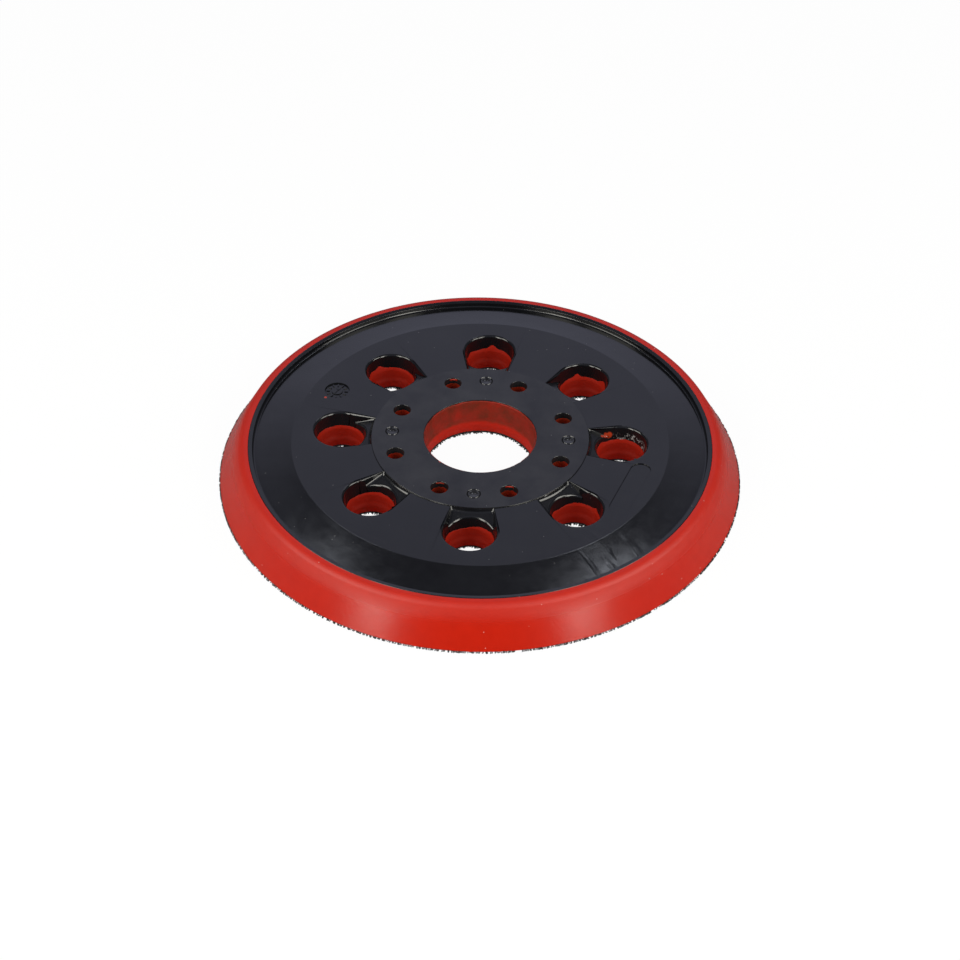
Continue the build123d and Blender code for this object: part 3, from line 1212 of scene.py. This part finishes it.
def black_nylon(pad):
    """Satin black glass-filled nylon with cloudy flow marks, dust, and pale scuffs that are partly painted
    sheen.
    """
    material, tree, shader = new_material("black_nylon")
    place = object_coordinates(tree)
    clouds = remap(tree, noise_value(tree, place, 70, 4, 0.6), 0.42, 0.72)
    base = blend_colours(tree, clouds, pad.colours.nylon, pad.colours.nylon_cloud)
    hub_r = pad.plate.hub_radius
    on_hub = remap(tree, distance_from_axis(tree, place), hub_r + 0.2 * MM, hub_r - 0.2 * MM)
    hub_clouds = remap(tree, noise_value(tree, place, 110, 5, 0.65), 0.35, 0.7)
    base = blend_colours(tree, arithmetic(tree, "MULTIPLY", on_hub, hub_clouds), base, pad.colours.hub_cloud)
    low = pad.plate.rim_height - 0.7 * MM
    # Two spots on the front of the slope where the lamps reflect; the pale scuff lines there are partly real
    # scuffing and partly painted sheen
    left = near_point(tree, place, (-27 * MM, -42 * MM, low), 11 * MM)
    right = near_point(tree, place, (31.5 * MM, -38.5 * MM, low), 10 * MM)
    left_scuffs_and_sheen = scratches(tree, place, left, radians(60), 3000)
    right_scuffs_and_sheen = scratches(tree, place, right, radians(50), 3000)
    scuffs_and_sheen = arithmetic(tree, "ADD", left_scuffs_and_sheen, right_scuffs_and_sheen)
    specks = dust_specks(tree, place, 420, 0.045, 0.4)
    # Dust specks, and pale scuff lines that are partly painted sheen
    worn_and_sheen = arithmetic(tree, "MAXIMUM", specks, arithmetic(tree, "MULTIPLY", scuffs_and_sheen, 0.15))
    base = blend_colours(tree, worn_and_sheen, base, pad.colours.dust_and_sheen)
    # Painted glints: pale marks on the dark film in one port that stand for its sparkle
    base = blend_colours(tree, port_film_glints(tree, place), base, pad.colours.film_glint)
    base = blend_colours(tree, stray_foam(tree, place, pad.plate), base, pad.colours.stray)
    tree.links.new(base, shader.inputs["Base Color"])
    rough = remap(tree, noise_value(tree, place, 400, 3), 0.3, 0.7, 0.12, 0.18)
    tree.links.new(rough, shader.inputs["Roughness"])
    shader.inputs["Specular IOR Level"].default_value = 0.5
    grain = bump(tree, noise_value(tree, place, 4500, 2), 0.12, 0.02 * MM, shader)
    waves = bump(tree, slope_waves(tree, place, pad.plate), 0.5, 0.12 * MM, shader, grain)
    creases = scratches(tree, place, right, radians(38), 420)
    bump(tree, creases, 0.5, 0.12 * MM, shader, waves)
    return material


def grained_nylon(pad):
    """The same nylon where the mould was left rough, on the floors of the pockets."""
    material, tree, shader = new_material("grained_nylon")
    place = object_coordinates(tree)
    grain = remap(tree, noise_value(tree, place, 3200, 3, 0.7), 0.4, 0.75)
    base = blend_colours(tree, grain, pad.colours.nylon, pad.colours.nylon_cloud)
    specks = dust_specks(tree, place, 900, 0.08, 0.3)
    base = blend_colours(tree, specks, base, pad.colours.dust_and_sheen)
    base = blend_colours(tree, stray_foam(tree, place, pad.plate), base, pad.colours.stray)
    tree.links.new(base, shader.inputs["Base Color"])
    shader.inputs["Roughness"].default_value = 0.28
    shader.inputs["Specular IOR Level"].default_value = 0.5
    bump(tree, noise_value(tree, place, 3200, 3, 0.7), 0.5, 0.04 * MM, shader)
    return material


def red_foam(pad, name, lining_foot=None, stained=0.0):
    """Dense red cast polyurethane with a satin skin; above its foot, the lining is a duller red: partly a
    thin skin over the black plate, partly painted shade inside the holes.
    """
    material, tree, shader = new_material(name)
    place = object_coordinates(tree)
    mottle = remap(tree, noise_value(tree, place, 350, 4, 0.6), 0.35, 0.7)
    base = blend_colours(tree, mottle, pad.colours.foam, pad.colours.foam_deep)
    if lining_foot is None:
        top = pad.foam.ledge
        reach = (top - 4.6 * MM, top - 0.6 * MM)
        rough = remap(tree, height_of(tree, place), *reach, 0.22, 0.5, "SMOOTHSTEP")
        shine = remap(tree, height_of(tree, place), *reach, 0.6, 0.35, "SMOOTHSTEP")
        tree.links.new(shine, shader.inputs["Specular IOR Level"])
        specks = dust_specks(tree, place, 420, 0.045, 0.4)
        base = blend_colours(tree, specks, base, pad.colours.speck)
    else:
        ragged = arithmetic(tree, "MULTIPLY", noise_value(tree, place, 500, 2), 0.6 * MM)
        height = arithmetic(tree, "ADD", height_of(tree, place), ragged)
        # Above the foot the red turns to the dull lining: partly a thin skin, partly painted shade inside the
        # holes
        thin_and_shaded = remap(tree, height, lining_foot + 0.3 * MM, lining_foot + 1.0 * MM)
        stain = remap(tree, noise_value(tree, place, 260, 5, 0.7), 0.3, 0.65, 0, stained)
        dull = blend_colours(tree, stain, pad.colours.lining, pad.colours.lining_stain)
        base = blend_colours(tree, thin_and_shaded, base, dull)
        rough = remap(tree, thin_and_shaded, 0, 1, 0.3, 0.5)
        shader.inputs["Specular IOR Level"].default_value = 0.3
    tree.links.new(base, shader.inputs["Base Color"])
    tree.links.new(rough, shader.inputs["Roughness"])
    bump(tree, noise_value(tree, place, 1800, 3, 0.6), 0.8, 0.03 * MM, shader)
    return material


def hook_nylon(pad):
    """Black nylon of the hook sheet."""
    material, tree, shader = new_material("hook_nylon")
    place = object_coordinates(tree)
    tone = remap(tree, noise_value(tree, place, 900, 2), 0.3, 0.7)
    base = blend_colours(tree, tone, pad.colours.hooks, pad.colours.hooks_pale)
    tree.links.new(base, shader.inputs["Base Color"])
    shader.inputs["Roughness"].default_value = 0.5
    return material


# Stage


def mix_shaders(tree, factor, first, second):
    """Two shaders mixed by a factor."""
    node = tree.nodes.new("ShaderNodeMixShader")
    for value, socket in zip((factor, first, second), node.inputs):
        tree.links.new(value, socket)
    return node.outputs["Shader"]


def seen_plainly(tree, path):
    """1 for rays from the camera, also through something clear."""
    return arithmetic(tree, "MAXIMUM", path.outputs["Is Camera Ray"], path.outputs["Is Transmission Ray"])


def white_floor(stage):
    """A pale floor that looks white and keeps a faint shadow; reflections see it darker."""
    material, tree, matte = new_material("white_floor")
    matte.inputs["Base Color"].default_value = (0.8, 0.8, 0.8, 1)
    matte.inputs["Roughness"].default_value = 0.9
    matte.inputs["Specular IOR Level"].default_value = 0.0
    glow = tree.nodes.new("ShaderNodeEmission")
    glow.inputs["Strength"].default_value = 1.0
    shade = tree.nodes.new("ShaderNodeEmission")
    shade.inputs["Strength"].default_value = 0.0
    path = tree.nodes.new("ShaderNodeLightPath")
    dimmed = arithmetic(tree, "MULTIPLY", path.outputs["Is Glossy Ray"], stage.floor_mirror)
    mirrored = mix_shaders(tree, dimmed, matte.outputs["BSDF"], shade.outputs["Emission"])
    plain = arithmetic(tree, "MULTIPLY", seen_plainly(tree, path), stage.floor_white)
    surface = mix_shaders(tree, plain, mirrored, glow.outputs["Emission"])
    tree.links.new(surface, tree.nodes["Material Output"].inputs["Surface"])
    return material


def studio_world(scene, stage):
    """A white background; the room that lights the pad has a soft roof light and a glow behind the pad."""
    world = bpy.data.worlds.new("studio_world")
    world.use_nodes = True
    tree = world.node_tree
    room = tree.nodes["Background"]
    room.inputs["Color"].default_value = (*stage.room_tint, 1)
    direction = tree.nodes.new("ShaderNodeTexCoord").outputs["Generated"]
    back = Vector((-sin(stage.azimuth), cos(stage.azimuth), 0))
    lift = stage.glow_elevation
    walls = remap(tree, vector_math(tree, "DOT_PRODUCT", direction, -back), 0.2, 0.7, stage.room, stage.front)
    towards_glow = vector_math(tree, "DOT_PRODUCT", direction, back * cos(lift) + UP * sin(lift))
    glow = remap(tree, towards_glow, cos(stage.glow_reach), cos(stage.glow_core), 0, stage.glow)
    overhead = UP * cos(stage.roof_tilt) - back * sin(stage.roof_tilt)
    towards_roof = vector_math(tree, "DOT_PRODUCT", direction, overhead)
    roof_edge = cos(stage.roof_reach)
    roof = remap(tree, towards_roof, roof_edge - 0.03, roof_edge + 0.03, 0, stage.roof)
    light = arithmetic(tree, "MAXIMUM", walls, arithmetic(tree, "MAXIMUM", glow, roof))
    tree.links.new(light, room.inputs["Strength"])
    white = tree.nodes.new("ShaderNodeBackground")
    white.inputs["Color"].default_value = (1, 1, 1, 1)
    white.inputs["Strength"].default_value = 1.0
    seen = seen_plainly(tree, tree.nodes.new("ShaderNodeLightPath"))
    surface = mix_shaders(tree, seen, room.outputs["Background"], white.outputs["Background"])
    tree.links.new(surface, tree.nodes["World Output"].inputs["Surface"])
    scene.world = world


def soft_box(name, turn, elevation, width, height, power, tint, stage, aim):
    """A lamp that looks at a point from one side of the camera."""
    lamp = bpy.data.lights.new(name, "AREA")
    lamp.shape = "RECTANGLE"
    lamp.size = width
    lamp.size_y = height
    lamp.energy = power
    lamp.color = tint
    item = bpy.data.objects.new(name, lamp)
    bpy.context.scene.collection.objects.link(item)
    azimuth = stage.azimuth + turn
    level = cos(elevation)
    away = Vector((sin(azimuth) * level, -cos(azimuth) * level, sin(elevation)))
    item.location = aim + away * stage.lamp_distance
    item.rotation_euler = (-away).to_track_quat("-Z", "Y").to_euler()


class PAD_OT_stage(bpy.types.Operator):
    """Make the floor, the light and the camera"""

    bl_idname = "pad.stage"
    bl_label = "Stage"

    def execute(self, context):
        scene = context.scene
        stage = scene.pad.stage
        scene.view_settings.view_transform = "Standard"
        bm = bmesh.new()
        bmesh.ops.create_grid(bm, x_segments=1, y_segments=1, size=2.0)
        bmesh.ops.translate(bm, verts=bm.verts[:], vec=(0, 0, -20 * MICRON))
        floor = bpy.data.objects.new("floor", to_mesh(bm, "floor"))
        floor.data.materials.append(white_floor(stage))
        scene.collection.objects.link(floor)
        studio_world(scene, stage)
        aim = Vector((0, 0, scene.pad.plate.rim_height))
        for side, word in ((-1, "left"), (1, "right")):
            low = stage.side_elevation
            key = (low, stage.key_width, stage.key_height, stage.key_power, stage.warm)
            fill = (low, stage.fill_width, stage.fill_height, stage.fill_power, stage.warm)
            back_turn, back_height, back_power = stage.back_turn, stage.back_elevation, stage.back_power
            if word == "left":
                back_turn -= stage.back_lean
                back_height -= stage.back_drop
                back_power *= stage.back_share
            back = (back_height, stage.back_size, stage.back_size, back_power, stage.cool)
            soft_box(f"key_{word}", side * stage.key_turn, *key, stage, aim)
            soft_box(f"fill_{word}", side * stage.fill_turn, *fill, stage, aim)
            soft_box(f"back_{word}", side * back_turn, *back, stage, aim)
        camera = bpy.data.objects.new("camera", bpy.data.cameras.new("camera"))
        scene.collection.objects.link(camera)
        camera.data.lens = stage.lens
        camera.data.sensor_width = 36
        camera.data.clip_start = 0.01
        camera.data.clip_end = 20
        turn = Matrix.Rotation(stage.azimuth, 4, "Z")
        tilt = Matrix.Rotation(pi / 2 - stage.elevation, 4, "X")
        aimed = (
            Matrix.Rotation(-stage.yaw, 4, "Y")
            @ Matrix.Rotation(stage.pitch, 4, "X")
            @ Matrix.Rotation(stage.roll, 4, "Z")
        )
        away = Matrix.Translation((0, 0, stage.distance))
        camera.matrix_world = Matrix.Translation(aim) @ turn @ tilt @ away @ aimed
        scene.camera = camera
        return {"FINISHED"}


class PAD_PT_panel(bpy.types.Panel):
    """Lists the pad's operators"""

    bl_idname = "PAD_PT_panel"
    bl_label = "Sander pad"
    bl_space_type = "VIEW_3D"
    bl_region_type = "UI"
    bl_category = "Pad"

    def draw(self, context):
        for operator in OPERATORS:
            self.layout.operator(operator.bl_idname)


GROUPS = (PlateSizes, PortSizes, FoamSizes, HookSizes, PadColours, StageSettings, PadSettings)
OPERATORS = (PAD_OT_moulded_plate, PAD_OT_cast_foam, PAD_OT_hook_sheet, PAD_OT_stage)
CLASSES = (*GROUPS, *OPERATORS, PAD_PT_panel)


def register():
    """Add the pad's classes and settings to Blender."""
    for item in CLASSES:
        bpy.utils.register_class(item)
    bpy.types.Scene.pad = PointerProperty(type=PadSettings)


def unregister():
    """Take the pad's classes and settings out of Blender."""
    del bpy.types.Scene.pad
    for item in reversed(CLASSES):
        bpy.utils.unregister_class(item)


def main():
    """Make every piece and the stage."""
    register()
    bpy.ops.pad.moulded_plate()
    bpy.ops.pad.cast_foam()
    bpy.ops.pad.hook_sheet()
    bpy.ops.pad.stage()


if __name__ == "__main__":
    main()
